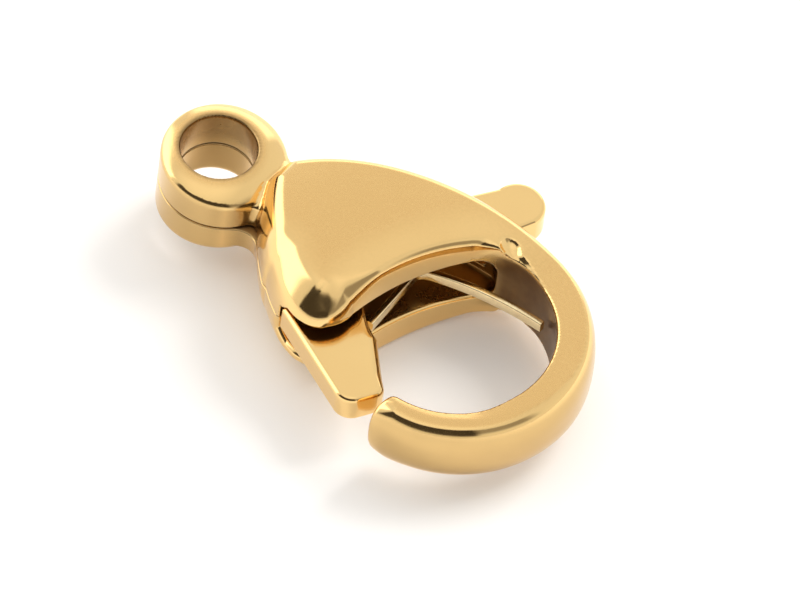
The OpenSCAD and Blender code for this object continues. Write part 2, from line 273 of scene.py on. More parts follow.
@dataclass(frozen=True)
class ClaspSizes:
    """The clasp's driving sizes, as its solids have them."""

    # How far it lies tipped, nose down
    tip_turn: float = 1.8
    # The ring and its hole
    hole_r: float = 0.905
    ring_r: float = 1.5
    ring_c: tuple[float, float] = (0.16, 0.04)
    ring_half: float = 1.08
    ring_round: float = 0.09
    # The hook's bend, the eye inside it and the hook's tip
    hook_x: float = 7.3
    hook_y: float = -0.12
    hook_r: float = 3.24
    flat_half: float = 0.95
    eye_r: float = 2.4
    eye_back: float = 0.05
    eye_side: float = 0.12
    tip_x: float = 0.1
    tip_round: float = 0.22
    tip_slant: float = 12.0
    # The long curves of the shells' outline, on the tab's and the gate's side, and their back
    far_r: float = 7.2
    far_turn: float = 80.0
    near_r: float = 7.0
    back_x: float = 1.3
    back_r: float = 0.48
    # How the shells dome up to the belly and fall to the hook's flat band
    belly_half: float = 1.6
    belly_x: float = 3.6
    back_half: float = 1.15
    flat_x: float = 8.4
    fall_late: float = 2.0
    crown: float = 0.3
    shoulder_near: float = 0.56
    shoulder_far: float = 0.52
    barrel_near: float = 0.45
    barrel_far: float = 0.3
    # The cavity behind the lever, the nose beside the gate and the mouth
    wall: float = 0.72
    cavity_half: float = 0.675
    cavity_x: float = 2.3
    cavity_r: float = 0.4
    nose_r: float = 0.88
    nose_x: float = 4.38
    nose_inset: float = 0.14
    nose_lead_r: float = 3.0
    nose_bulge: float = 0.0175
    nose_end: float = 370.0
    rise_x: float = 3.7
    rise_slope: float = 40.0
    corner_r: float = 1.25
    corner_turn: float = 85.0
    mouth_r: float = 6.0
    mouth_turn: float = 148.0
    # The lever: its plate and slots, the pin, the tab, the gate and the crotch
    lever_half: float = 0.4
    slot_gap: float = 3.0
    pivot: tuple[float, float] = (3.4, 0.4)
    pin_r: float = 0.35
    pin_half: float = 1.075
    lever_eye_r: float = 0.84
    tab_r: float = 0.65
    tab: tuple[float, float] = (5.92, 3.86)
    tab_turns: tuple[float, float] = (-10.0, 175.0)
    tab_root: tuple[float, float] = (4.2, 2.2)
    tab_neck_turn: float = 90.0
    gate_r: float = 0.46
    gate_x: float = 6.36
    gate_inner_r: float = 0.24
    gate_end_w: float = 0.5
    gate_end_turn: float = 35.0
    gate_inset: float = 0.04
    gate_slant: float = 22.8
    heel_x: float = 3.75
    knee: tuple[float, float] = (5.9, -1.3)
    crotch_r: float = 2.1
    crotch: tuple[float, float] = (6.15, 2.75)
    gate_swing: float = 25.0

    @property
    def hook_c(self) -> Array:
        """Centre of the hook's bend."""
        return np.array([self.hook_x, self.hook_y])

    @property
    def eye_c(self) -> Array:
        """Centre of the eye."""
        return self.hook_c - np.array([self.eye_back, self.eye_side])

    @property
    def far_c(self) -> Array:
        """Centre of the long curve on the tab's side."""
        return self.hook_c - (self.far_r - self.hook_r) * toward(self.far_turn)

    @property
    def near_c(self) -> Array:
        """Centre of the long curve on the gate's side."""
        return self.hook_c + np.array([0.0, self.near_r - self.hook_r])

    @property
    def corner_c(self) -> Array:
        """Centre of the mouth's inner corner."""
        return self.eye_c + (self.eye_r - self.corner_r) * toward(self.corner_turn)

    def corner(self, side: int, x: float, r: float, inset: float) -> Array:
        """Centre of a corner that touches the line at x and a long curve.

        Args:
            side: 1 for the curve on the tab's side, -1 for the one on the gate's.
            x: place of the line.
            r: radius of the corner.
            inset: how far the curve is moved inwards.

        Returns:
            The centre.
        """
        centre, curve_r = (self.far_c, self.far_r) if side > 0 else (self.near_c, self.near_r)
        y = math.sqrt((curve_r - inset - r) ** 2 - (x + r - centre[0]) ** 2)
        return np.array([x + r, centre[1] + side * y])

    def gate_c(self) -> Array:
        """Centre of the gate's outer end corner."""
        return self.corner(-1, self.gate_x - self.gate_r, self.gate_r, self.gate_inset)

    def heel(self) -> Array:
        """Where the lever's straight outer side ends beside the shells.

        Returns:
            Its place in the plan.
        """
        side = self.gate_c() + self.gate_r * toward(270 - self.gate_slant)
        slope = math.tan(math.radians(self.gate_slant))
        return side + (side[0] - self.heel_x) * np.array([-1.0, slope])

    def pear(self, inset: float, x: float, r: float) -> Outline:
        """The outline of shells and hook, moved inwards.

        Args:
            inset: how far it is moved inwards.
            x: place of its back line.
            r: radius of its back corners.

        Returns:
            The closed outline.
        """
        far, near = self.corner(1, x, r, inset), self.corner(-1, x, r, inset)
        a_far, a_near = direction(far - self.far_c), direction(near - self.near_c)
        return Outline([
            Arc(self.hook_c, self.hook_r - inset, -90, self.far_turn),
            Arc(self.far_c, self.far_r - inset, self.far_turn, a_far),
            Arc(far, r, a_far, 180),
            Line(far - np.array([r, 0]), near - np.array([r, 0])),
            Arc(near, r, 180, a_near),
            Arc(self.near_c, self.near_r - inset, a_near, 270),
        ])

    def domed(self, x: Array) -> Array:
        """How much of the domed shell is left at x: 1 on the shells and 0 on the hook."""
        t = np.maximum(x - self.belly_x, 0) / (self.flat_x - self.belly_x)
        return 1 - Ease(0, 1)(t**self.fall_late)

    def face_z(self, x: Array, y: Array) -> Array:
        """Half thickness of the body at a plan point, before its edges are rounded.

        Args:
            x: places along the clasp.
            y: places across it.

        Returns:
            The half thicknesses.
        """
        rise = np.clip((self.belly_x - x) / (self.belly_x - self.back_x), 0, 1)
        back = self.back_half + (self.belly_half - self.back_half) * np.sqrt(1 - rise * rise)
        front = self.belly_half + (self.flat_half - self.belly_half) * (1 - self.domed(x))
        across = (y - self.hook_y) / self.hook_r
        return np.where(x < self.belly_x, back, front) - self.crown * self.domed(x) * across**2

    def to_frame(self, points: Array) -> Array:
        """Turns flat millimetres into metres of the part's frame.

        Args:
            points: rows of x, y and z.

        Returns:
            Rows of x, y and z in the frame.
        """
        c, s = math.cos(math.radians(self.tip_turn)), math.sin(math.radians(self.tip_turn))
        x, y, z = points.T
        return np.stack([x * c + z * s, y, z * c - x * s], axis=1) / 1000


def arc_through(a: Array, b: Array, r: float) -> Arc:
    """A hollow stretch of radius r from a to b, whose centre lies on the right.

    Args:
        a: first point.
        b: last point.
        r: radius.

    Returns:
        The stretch.
    """
    chord = b - a
    half = float(np.linalg.norm(chord)) / 2
    side = np.array([-chord[1], chord[0]]) / (2 * half)
    c = (a + b) / 2 - side * math.sqrt(r * r - half * half)
    return Arc(c, r, direction(a - c), direction(b - c))


def add_object(name: str, data: bpy.types.ID) -> bpy.types.Object:
    """Puts an object with its data into the scene.

    Args:
        name: the name of the object.
        data: its mesh, curve, camera or light.

    Returns:
        The object.
    """
    obj = bpy.data.objects.new(name, data)
    bpy.context.scene.collection.objects.link(obj)
    return obj


# Along an axis of the grid: all planes but the last, all but the first, and those within
FIRST, LAST, WITHIN = slice(0, -1), slice(1, None), slice(1, -1)


def cut(parts: dict[int, slice]) -> tuple[slice, ...]:
    """Index of a part of the grid, from the stretch that is taken along each named axis."""
    return tuple(parts.get(k, slice(None)) for k in range(3))


@dataclass(frozen=True)
class Skin:
    """Turns a signed distance field in flat millimetres into a smooth closed mesh."""

    field_of: Field
    name: str

    def gradient(self, p: Array, step: float = 1e-3) -> Array:
        """Gradient of the field at points, by central differences.

        Args:
            p: the points, as rows.
            step: distance of the points compared.

        Returns:
            The gradients, as rows.
        """
        out = np.empty_like(p)
        for k in range(3):
            d = np.zeros(3)
            d[k] = step
            out[:, k] = (self.field_of(*(p + d).T) - self.field_of(*(p - d).T)) / (2 * step)
        return out

    def normal(self, p: Array) -> Array:
        """Unit normals of the field at points."""
        g = self.gradient(p)
        return g / np.maximum(np.linalg.norm(g, axis=1, keepdims=True), 1e-9)

    def nets(self, axes: tuple[Array, Array, Array]) -> tuple[Array, Array]:
        """Lays one vertex in each grid cell that the surface crosses, and joins them.

        Args:
            axes: grid planes across X, Y and Z.

        Returns:
            The vertices, and the quads as rows of vertex numbers.
        """
        grid = np.meshgrid(*axes, indexing="ij")
        slab = 16
        value = np.concatenate([self.field_of(*(g[i : i + slab] for g in grid))
                                for i in range(0, len(axes[0]), slab)])
        inside = value < 0
        cells = tuple(len(a) - 1 for a in axes)
        total, count = np.zeros(cells + (3,)), np.zeros(cells)
        number = np.arange(np.prod(cells)).reshape(cells)
        quads = []
        for k in range(3):
            m, n = (axis for axis in range(3) if axis != k)
            low, high = cut({k: FIRST}), cut({k: LAST})
            cross = inside[low] != inside[high]
            t = np.where(cross, value[low] / np.where(cross, value[low] - value[high], 1), 0)
            point = np.stack([g[low] for g in grid], axis=-1)
            point[..., k] += t * (grid[k][high] - grid[k][low])
            for around in (cut({m: a, n: b}) for a in (FIRST, LAST) for b in (FIRST, LAST)):
                total += np.where(cross[around][..., None], point[around], 0)
                count += cross[around]
            core = cut({m: WITHIN, n: WITHIN})
            base = np.argwhere(cross[core])
            if not len(base):
                continue
            base[:, [m, n]] += 1
            corner = []
            for back in ((1, 1), (0, 1), (0, 0), (1, 0)):
                cell = base.copy()
                cell[:, [m, n]] -= back
                corner.append(number[tuple(cell.T)])
            quad = np.stack(corner, axis=1)
            flip = inside[low][core][cross[core]] == (k == 1)
            quad[flip] = quad[flip][:, ::-1]
            quads.append(quad)
        faces = np.concatenate(quads)
        used, index = np.unique(faces, return_inverse=True)
        flat_total, flat_count = total.reshape(-1, 3), count.reshape(-1)
        return flat_total[used] / flat_count[used][:, None], index.reshape(faces.shape)

    def settle(self, p: Array, rounds: int = 3, reach: float = 0.04) -> Array:
        """Moves points onto the surface.

        Args:
            p: the points.
            rounds: how many steps each point takes.
            reach: the longest step.

        Returns:
            The moved points.
        """
        for _ in range(rounds):
            g = self.gradient(p)
            square = np.maximum((g * g).sum(1), 0.05)
            move = -(self.field_of(*p.T) / square)[:, None] * g
            length = np.linalg.norm(move, axis=1, keepdims=True)
            p = p + move * np.minimum(1, reach / np.maximum(length, 1e-9))
        return p

    def relax(self, p: Array, faces: Array, rounds: int = 2) -> Array:
        """Evens out the vertices over the surface, then puts them back onto it.

        Args:
            p: the vertices, as rows.
            faces: the quads, as rows of vertex numbers.
            rounds: how often it is done.

        Returns:
            The moved vertices.
        """
        a, b = faces.reshape(-1), np.roll(faces, -1, axis=1).reshape(-1)
        degree = np.bincount(a, minlength=len(p)) + np.bincount(b, minlength=len(p))
        for _ in range(rounds):
            total = np.zeros_like(p)
            for k in range(3):
                total[:, k] = np.bincount(a, p[b, k], len(p)) + np.bincount(b, p[a, k], len(p))
            pull = total / degree[:, None] - p
            n = self.normal(p)
            pull -= (pull * n).sum(1, keepdims=True) * n
            p = self.settle(p + 0.5 * pull, 1)
        return p

    def mesh(self, axes: tuple[Array, Array, Array], sizes: ClaspSizes,
             shares: Callable[[Array, Array], dict[Share, Array]]) -> bpy.types.Object:
        """Builds the object of the surface, with normals taken from the field.

        Args:
            axes: grid planes across X, Y and Z.
            sizes: the clasp's sizes, for the way into the part's frame.
            shares: gives the finish's numbers for flat points and their normals.

        Returns:
            The object, linked to the scene.
        """
        flat, faces = self.nets(axes)
        flat = self.relax(self.settle(flat), faces)
        flat = self.settle(flat, 2)
        normal = self.normal(flat)
        mesh = bpy.data.meshes.new(self.name)
        place = sizes.to_frame(flat)
        mesh.vertices.add(len(place))
        mesh.vertices.foreach_set("co", place.astype(np.float32).ravel())
        mesh.loops.add(faces.size)
        mesh.loops.foreach_set("vertex_index", faces.astype(np.int32).ravel())
        mesh.polygons.add(len(faces))
        mesh.polygons.foreach_set("loop_start", np.arange(0, faces.size, 4, dtype=np.int32))
        mesh.polygons.foreach_set("use_smooth", np.ones(len(faces), dtype=bool))
        mesh.update(calc_edges=True)
        mesh.validate()
        turned = sizes.to_frame(normal) * 1000
        mesh.normals_split_custom_set_from_vertices(turned.tolist())
        obj = add_object(self.name, mesh)
        for share, values in shares(flat, normal).items():
            write_share(obj, share, values)
        log.info("%s: %d vertices, %d quads", self.name, len(flat), len(faces))
        return obj


def planes(low: float, high: float, step: float, fine: dict[float, float] | None = None,
           growth: float = 0.35) -> Array:
    """Grid planes between two places, closer together near the fine ones.

    Args:
        low: first place.
        high: last place.
        step: the usual spacing.
        fine: place of a feature, and the spacing there.
        growth: how fast the spacing grows away from a feature.

    Returns:
        The places of the planes.
    """
    out = [low]
    while out[-1] < high:
        here = out[-1] + step / 2
        want = step
        for place, small in (fine or {}).items():
            want = min(want, max(small, growth * abs(here - place)))
        out.append(out[-1] + want)
    return np.array(out)


@dataclass(frozen=True)
class Bowl:
    """An ellipsoid pressed into the body: its centre, its half axes and its turn in the plan."""

    centre: tuple[float, float, float]
    half: tuple[float, float, float]
    turn: float

    def distance(self, x: Array, y: Array, z: Array) -> Array:
        """Signed distance of points from it, negative inside.

        Args:
            x: places along the clasp.
            y: places across it.
            z: heights out of the upper shell.

        Returns:
            The distances, negative inside.
        """
        c, s = toward(self.turn)
        dx, dy = x - self.centre[0], y - self.centre[1]
        along, across = (dx * c + dy * s) / self.half[0], (dy * c - dx * s) / self.half[1]
        q = np.sqrt(along**2 + across**2 + ((z - self.centre[2]) / self.half[2]) ** 2)
        return (q - 1) * min(self.half)


# How much of the flat faces' satin a face has, by the upright part of its normal
FLAT_FACE = Ease(0.9, 0.98)


@dataclass
class ShellBody:
    """The body: ring, neck, the two domed shells and the hook, in one piece."""

    sizes: ClaspSizes = field(default_factory=ClaspSizes)
    # Spacing of the grid in general, at the seam and at the slots, and its room round the body
    grid: float = 0.06
    seam_grid: float = 0.009
    slot_grid: float = 0.03
    room_x: float = 0.15
    room_y: tuple[float, float] = (0.15, 0.25)
    room_z: float = 0.12
    # The near side's shape turns into the far side's across y, and the nose lies near it
    far_side: Ease = Ease(-1.2, 1.2)
    nose_side: Ease = Ease(-0.5, -2.0)
    underneath: Ease = Ease(0.15, -0.15)
    # The edge of the shells beside the mouth: how wide it rolls, how much of the roll the
    # mouth's wall cuts off, and where the roll takes over from the outer shoulder
    lip_w: float = 0.4
    lip_cut: float = 0.14
    lip_cut_below: float = 0.16
    lip_cut_hook: float = 0.5
    lip_end: Ease = Ease(6.3, 7.4)
    lip_share: Ease = Ease(-0.36, 0.84)
    lip_blend: float = 2.0
    nose_w: float = 1.1
    nose_cut: float = 0.28
    nose_fall: float = 0.2
    nose_reach: Ease = Ease(0.9, 0.0)
    nose_round: float = 0.12
    # The section's exponent along z, and how much lower it is on the nose
    power: float = 2.5
    nose_power: float = 0.6
    # How far the edges of the mouth, the hook and its tip are rounded
    lip_round: float = 0.12
    hook_round: float = 0.08
    tip_round: float = 0.06
    tip_x: Ease = Ease(8.1, 7.6)
    tip_y: Ease = Ease(-1.6, -2.0)
    # The fillet from the ring to the shells, in the upper and the lower half
    upper_fillet: float = 0.3
    far_fillet: float = 0.1
    far_fillet_y: Ease = Ease(0, 0.8)
    lower_fillet: float = 0.7
    valley: float = 0.1
    valley_z: Ease = Ease(0.62, 0.92)
    half_z: Ease = Ease(0.02, -0.02)
    # How the ring's faces fall from the hole outwards
    ring_fall: float = 0.27
    ring_fall_w: float = 0.6
    ring_fall_power: float = 1.8
    ring_fall_end: float = 1.2
    # These keep the slope of the field near 1, so that it may be used as a distance
    ring_even: float = 0.85
    least_slope: float = 0.3
    deepest: float = 0.8
    # The edges of the ring's hole, which are rounder below, and of the cavity
    hole_round: float = 0.07
    hole_low_round: float = 0.15
    hole_low_z: Ease = Ease(0.5, -0.5)
    cavity_round: float = 0.12
    cavity_end_round: float = 0.4
    rim_round: float = 0.1
    # The lever's slots, the sill under them and the pin's seats
    slot_play: float = 0.03
    heel_play: float = 0.4
    slot_round: float = 0.05
    sill_round: float = 0.2
    sill_y: Ease = Ease(-1.2, -1.6)
    seat_play: float = 0.01
    # The seam's groove, which ends just past the pivot
    seam_depth: float = 0.12
    seam_width: float = 0.024
    seam_end: Ease = Ease(3.8, 3.65)
    # The dent at the mouth's inner corner, and the streak that it runs out in
    dent: Bowl = Bowl((6.98, 2.25, 1.74), (0.5, 0.4, 0.68), -14)
    streak: Bowl = Bowl((7.42, 2.11, 1.3), (0.64, 0.2, 0.32), -6)
    dent_blend: float = 0.06
    dent_round: float = 0.03
    # Where the finish changes and where shade is painted: painted shade on walls, in the eye and
    # the ring's hole, at the neck and on the bands round the ring and the hook; polish along the
    # lip; tarnish beside the seam
    wall_face: Ease = Ease(0.6, 0.3)
    beside_edge: Ease = Ease(0.12, 0.04)
    eye_x: Ease = Ease(6.3, 7.0)
    eye_y: Ease = Ease(0.1, 1.1)
    neck: tuple[float, float] = (1.5, -0.95)
    neck_size: tuple[float, float] = (0.32, 0.4)
    neck_z: Ease = Ease(0.95, 0.65)
    neck_shade: float = 0.55
    ring_band: Ease = Ease(1.3, 0.9)
    hook_band: Ease = Ease(6.8, 7.6)
    band_shade: float = 0.33
    lip_polish: float = 0.8
    polish_end: Ease = Ease(1.4, 0.4)
    tarnish_width: float = 0.035

    def __post_init__(self) -> None:
        """Works out the outlines that the field uses."""
        s = self.sizes
        self.outer = s.pear(0, s.back_x, s.back_r)
        self.cavity = s.pear(s.wall, s.cavity_x, s.cavity_r)
        self.heel = s.heel()
        self.cavity_end = s.corner_c[0] - s.corner_r / 2
        self.opening = self.make_opening()

    def make_opening(self) -> Outline:
        """The eye, the mouth and the gap that the gate closes, as one outline.

        Returns:
            The outline, closed far outside the body.
        """
        s = self.sizes
        nose_c = s.corner(-1, s.nose_x - s.nose_r, s.nose_r, s.nose_inset)
        side = float(np.linalg.norm(nose_c - s.near_c))
        wall_r = s.near_r + s.nose_bulge - s.nose_lead_r
        nose_d = s.nose_lead_r - s.nose_r
        turn = direction(nose_c - s.near_c) - angle_of(
            (side**2 + wall_r**2 - nose_d**2) / (2 * side * wall_r))
        lead_c = s.near_c + wall_r * toward(turn)
        start = lead_c + s.nose_lead_r * toward(turn)
        nose_start = direction(nose_c - lead_c)
        self.mouth_low = nose_c + s.nose_r * toward(s.nose_end)
        high = s.corner_c + s.corner_r * toward(s.mouth_turn)
        eye_end = angle_of((s.hook_x + s.tip_x - s.eye_c[0]) / s.eye_r)
        tip = s.eye_c + s.eye_r * toward(-eye_end)
        low_y = s.hook_y - s.hook_r - 1
        slant = (tip[1] - low_y) * math.tan(math.radians(s.tip_slant))
        below = np.array([tip[0] - slant, low_y])
        across = s.eye_r * math.cos(math.radians(eye_end - s.tip_slant)) + s.tip_round
        tip_turn = -s.tip_slant - angle_of(across / (s.eye_r + s.tip_round))
        tip_c = s.eye_c + (s.eye_r + s.tip_round) * toward(tip_turn)
        face_turn = 180 - s.tip_slant
        hollow = arc_through(self.mouth_low, high, s.mouth_r)
        # The solid lies outside this outline, so it is run the other way round: up the
        # tip, round the eye, along the mouth and down the nose
        return Outline([
            Line(below, tip_c + s.tip_round * toward(face_turn)),
            Arc(tip_c, s.tip_round, face_turn, tip_turn + 180),
            Arc(s.eye_c, s.eye_r, tip_turn, s.corner_turn),
            Arc(s.corner_c, s.corner_r, s.corner_turn, s.mouth_turn),
            Arc(hollow.centre, hollow.radius, hollow.b, hollow.a),
            Arc(nose_c, s.nose_r, s.nose_end, nose_start),
            Arc(lead_c, s.nose_lead_r, nose_start, turn),
            Line(start, np.array([start[0], low_y])),
            Line(np.array([start[0], low_y]), below),
        ])

    def wedge(self, x: Array, y: Array, low: float, high: float) -> Array:
        """Signed distance of the wedge of the plan between two directions from the pivot.

        Args:
            x: places along the clasp.
            y: places across it.
            low: the first direction, in degrees.
            high: the last direction.

        Returns:
            The distances, negative inside.
        """
        s = self.sizes
        dx, dy = x - s.pivot[0], y - s.pivot[1]
        a, b = toward(low - 90), toward(high + 90)
        reach = (np.linalg.norm(np.array(s.tab) - s.pivot)
                 + np.linalg.norm(s.gate_c() - np.array(s.pivot))) / 2
        sides = np.maximum(dx * a[0] + dy * a[1], dx * b[0] + dy * b[1])
        return np.maximum(sides, np.hypot(dx, dy) - reach)

    def domes(self, x: Array, y: Array, z: Array) -> Array:
        """Distance of the shells and the hook before anything is cut away.

        Args:
            x: places along the clasp.
            y: places across it.
            z: heights out of the upper shell.

        Returns:
            The distances, negative inside.
        """
        s = self.sizes
        domed = s.domed(x)
        far, nose = self.far_side(y), self.nose_side(y)
        barrel = mixed(s.barrel_near, s.barrel_far, far)
        w = mixed(barrel, mixed(s.shoulder_near, s.shoulder_far, far), domed)

        lip_w = mixed(self.lip_w, self.nose_w, nose)
        lost = mixed(self.lip_cut, self.nose_cut, nose)
        lost = lost + self.lip_cut_below * self.underneath(z) * (1 - nose)
        lost = lost + self.lip_cut_hook * self.lip_end(x)
        wall = -self.outer.distance(x, y)
        lip = self.opening.distance(x, y)
        share = self.lip_share(wall - lip)
        w = mixed(w, lip_w, share)
        inner = soft_min(wall, lip + lost, self.lip_blend)

        # The section is a superellipse: u runs from the flat to the edge, v up to the face
        h = s.face_z(x, y) - self.nose_fall * nose * domed * self.nose_reach(lip)
        u = np.maximum(1 - inner / w, 0)
        v = np.abs(z) / h
        power = self.power - self.nose_power * nose * share * domed
        q = np.sqrt(u * u + v**power) + 1e-6
        slope = np.hypot(u / w, power / 2 * v ** (power - 1) / h) / q
        return np.maximum((q - 1) / np.maximum(slope, self.least_slope), -self.deepest)

    def ring(self, x: Array, y: Array, z: Array) -> Array:
        """Distance of the ring as a full disc.

        Args:
            x: places along the clasp.
            y: places across it.
            z: heights out of the upper shell.

        Returns:
            The distances, negative inside.
        """
        s = self.sizes
        rho = np.hypot(x - s.ring_c[0], y - s.ring_c[1])
        r = s.ring_round
        a = rho - (s.ring_r - r)
        out = np.clip((np.hypot(x, y) - s.hole_r) / self.ring_fall_w, 0, self.ring_fall_end)
        fall = self.ring_fall * out**self.ring_fall_power
        b = (np.abs(z) + fall - (s.ring_half - r)) * self.ring_even
        return np.hypot(np.maximum(a, 0), np.maximum(b, 0)) + np.minimum(np.maximum(a, b), 0) - r

    def distance(self, x: Array, y: Array, z: Array) -> Array:
        """Signed distance of the finished body.

        Args:
            x: flat millimetres along the clasp.
            y: across it.
            z: out of its upper shell.

        Returns:
            The distances, negative inside.
        """
        s = self.sizes
        domed, height = s.domed(x), np.abs(z)
        upper = self.upper_fillet + self.far_fillet * self.far_fillet_y(y)
        fillet = mixed(upper, self.lower_fillet, self.half_z(z))
        fillet = mixed(fillet, self.valley, self.valley_z(height))
        solid = round_min(self.domes(x, y, z), self.ring(x, y, z), fillet)
        hole = s.hole_r - np.hypot(x, y)
        solid = round_max(solid, hole, self.hole_round + self.hole_low_round * self.hole_low_z(z))

        lip_round = self.lip_round + self.nose_round * self.nose_side(y)
        edge = mixed(self.hook_round, lip_round, domed)
        edge = np.maximum(edge, self.tip_round * self.tip_x(x) * self.tip_y(y))
        solid = round_max(solid, -self.opening.distance(x, y), edge)

        inside = round_max(self.cavity.distance(x, y), height - s.cavity_half, self.cavity_round)
        inside = round_max(inside, x - self.cavity_end, self.cavity_end_round)
        solid = round_max(solid, -inside, self.rim_round)

        # The lever's slots, and the lift above them that lets its gate swing in
        slot = s.lever_half + self.slot_play
        pivot = np.array(s.pivot)
        heel = direction(self.heel - pivot) - self.heel_play
        mouth = direction(self.mouth_low - pivot) + s.slot_gap
        crotch = direction(np.array(s.crotch) - pivot) - s.slot_gap
        near = self.wedge(x, y, heel, mouth)
        far = self.wedge(x, y, crotch, s.tab_neck_turn + s.gate_swing + s.slot_gap)
        slots = np.maximum(np.minimum(near, far), height - slot)
        rise = math.radians(s.rise_slope)
        under = (height - slot) * math.cos(rise) - (x - s.rise_x) * math.sin(rise)
        lift = np.maximum(np.maximum(near, under), height - s.cavity_half)
        sill = self.slot_round + self.sill_round * self.underneath(z) * self.sill_y(y)
        solid = round_max(solid, -np.minimum(slots, lift), sill)
        seat = np.hypot(x - pivot[0], y - pivot[1]) - s.pin_r - self.seat_play
        solid = np.maximum(solid, -np.maximum(seat, height - s.pin_half))

        # The dent where the mouth's inner corner meets the hook's face, and the streak
        # that it runs out in along the eye's rim
        dent, streak = self.dent.distance(x, y, height), self.streak.distance(x, y, height)
        solid = round_max(solid, -round_min(dent, streak, self.dent_blend), self.dent_round)

        # The seam between the halves, as a fine groove in the outer walls and the hole
        return solid + self.seam_depth * np.exp(-((z / self.seam_width) ** 2)) * self.seam_end(x)

    def build(self, finish: bpy.types.Material) -> bpy.types.Object:
        """Makes the body's mesh, with its finish and the shares that the finish reads.

        Args:
            finish: its material.

        Returns:
            The body's object.
        """
        h, s = self.grid, self.sizes
        slot, top = s.lever_half + self.slot_round, s.belly_half + self.room_z
        fine = {side * z: self.slot_grid for z in (slot, s.cavity_half) for side in (1, -1)}
        axes = (
            planes(s.ring_c[0] - s.ring_r - self.room_x, s.hook_x + s.hook_r + self.room_x, h),
            planes(s.hook_y - s.hook_r - self.room_y[0], s.hook_y + s.hook_r + self.room_y[1], h),
            planes(-top, top, h, {0: self.seam_grid, **fine}),
        )
        body = Skin(self.distance, "shell_body").mesh(axes, s, self.shares)
        body.data.materials.append(finish)
        return body

    def shares(self, p: Array, normal: Array) -> dict[Share, Array]:
        """How satin the body is, where shade is painted on it (it is duller there too), and how
        tarnished it is beside the seam.

        Args:
            p: flat points of the surface.
            normal: their normals.

        Returns:
            A number for every point, by the share that the finish reads.
        """
        s = self.sizes
        x, y, z = p.T
        height, up = np.abs(z), np.abs(normal[:, 2])
        wall, beside = self.wall_face(up), self.beside_edge
        hollow, lip = self.cavity.distance(x, y), self.opening.distance(x, y)
        # Painted shade: in the cavity, on the eye's far wall, in the ring's hole, at the neck and
        # on the ring's and hook's outer walls
        within = Ease(0.05, -0.05)(hollow) * Ease(0.05, -0.05)(height - s.cavity_half)
        within *= Ease(0.1, 0.0)(x - self.cavity_end) * Ease(0.04, 0.14)(lip)
        eye = beside(lip) * wall * self.eye_y(y) * self.eye_x(x)
        eye *= Ease(0.1, -0.1)(height - s.flat_half)
        hole = beside(np.hypot(x, y) - s.hole_r) * (0.4 + 0.3 * Ease(0, 0.5)(z))
        away = [(x - self.neck[0]) / self.neck_size[0], (y - self.neck[1]) / self.neck_size[1]]
        neck = self.neck_shade * np.exp(-(away[0] ** 2) - (away[1] ** 2)) * self.neck_z(height)
        band = self.band_shade * (self.ring_band(x) + self.hook_band(x)) * wall
        polished = self.lip_polish * self.polish_end(lip) * s.domed(x)
        return {
            Share.SATIN: FLAT_FACE(up) * (1 - polished),
            Share.SHADE: np.max([within, eye, hole, band, neck], axis=0),
            Share.SEAM: np.exp(-((z / self.tarnish_width) ** 2)) * self.seam_end(x),
        }


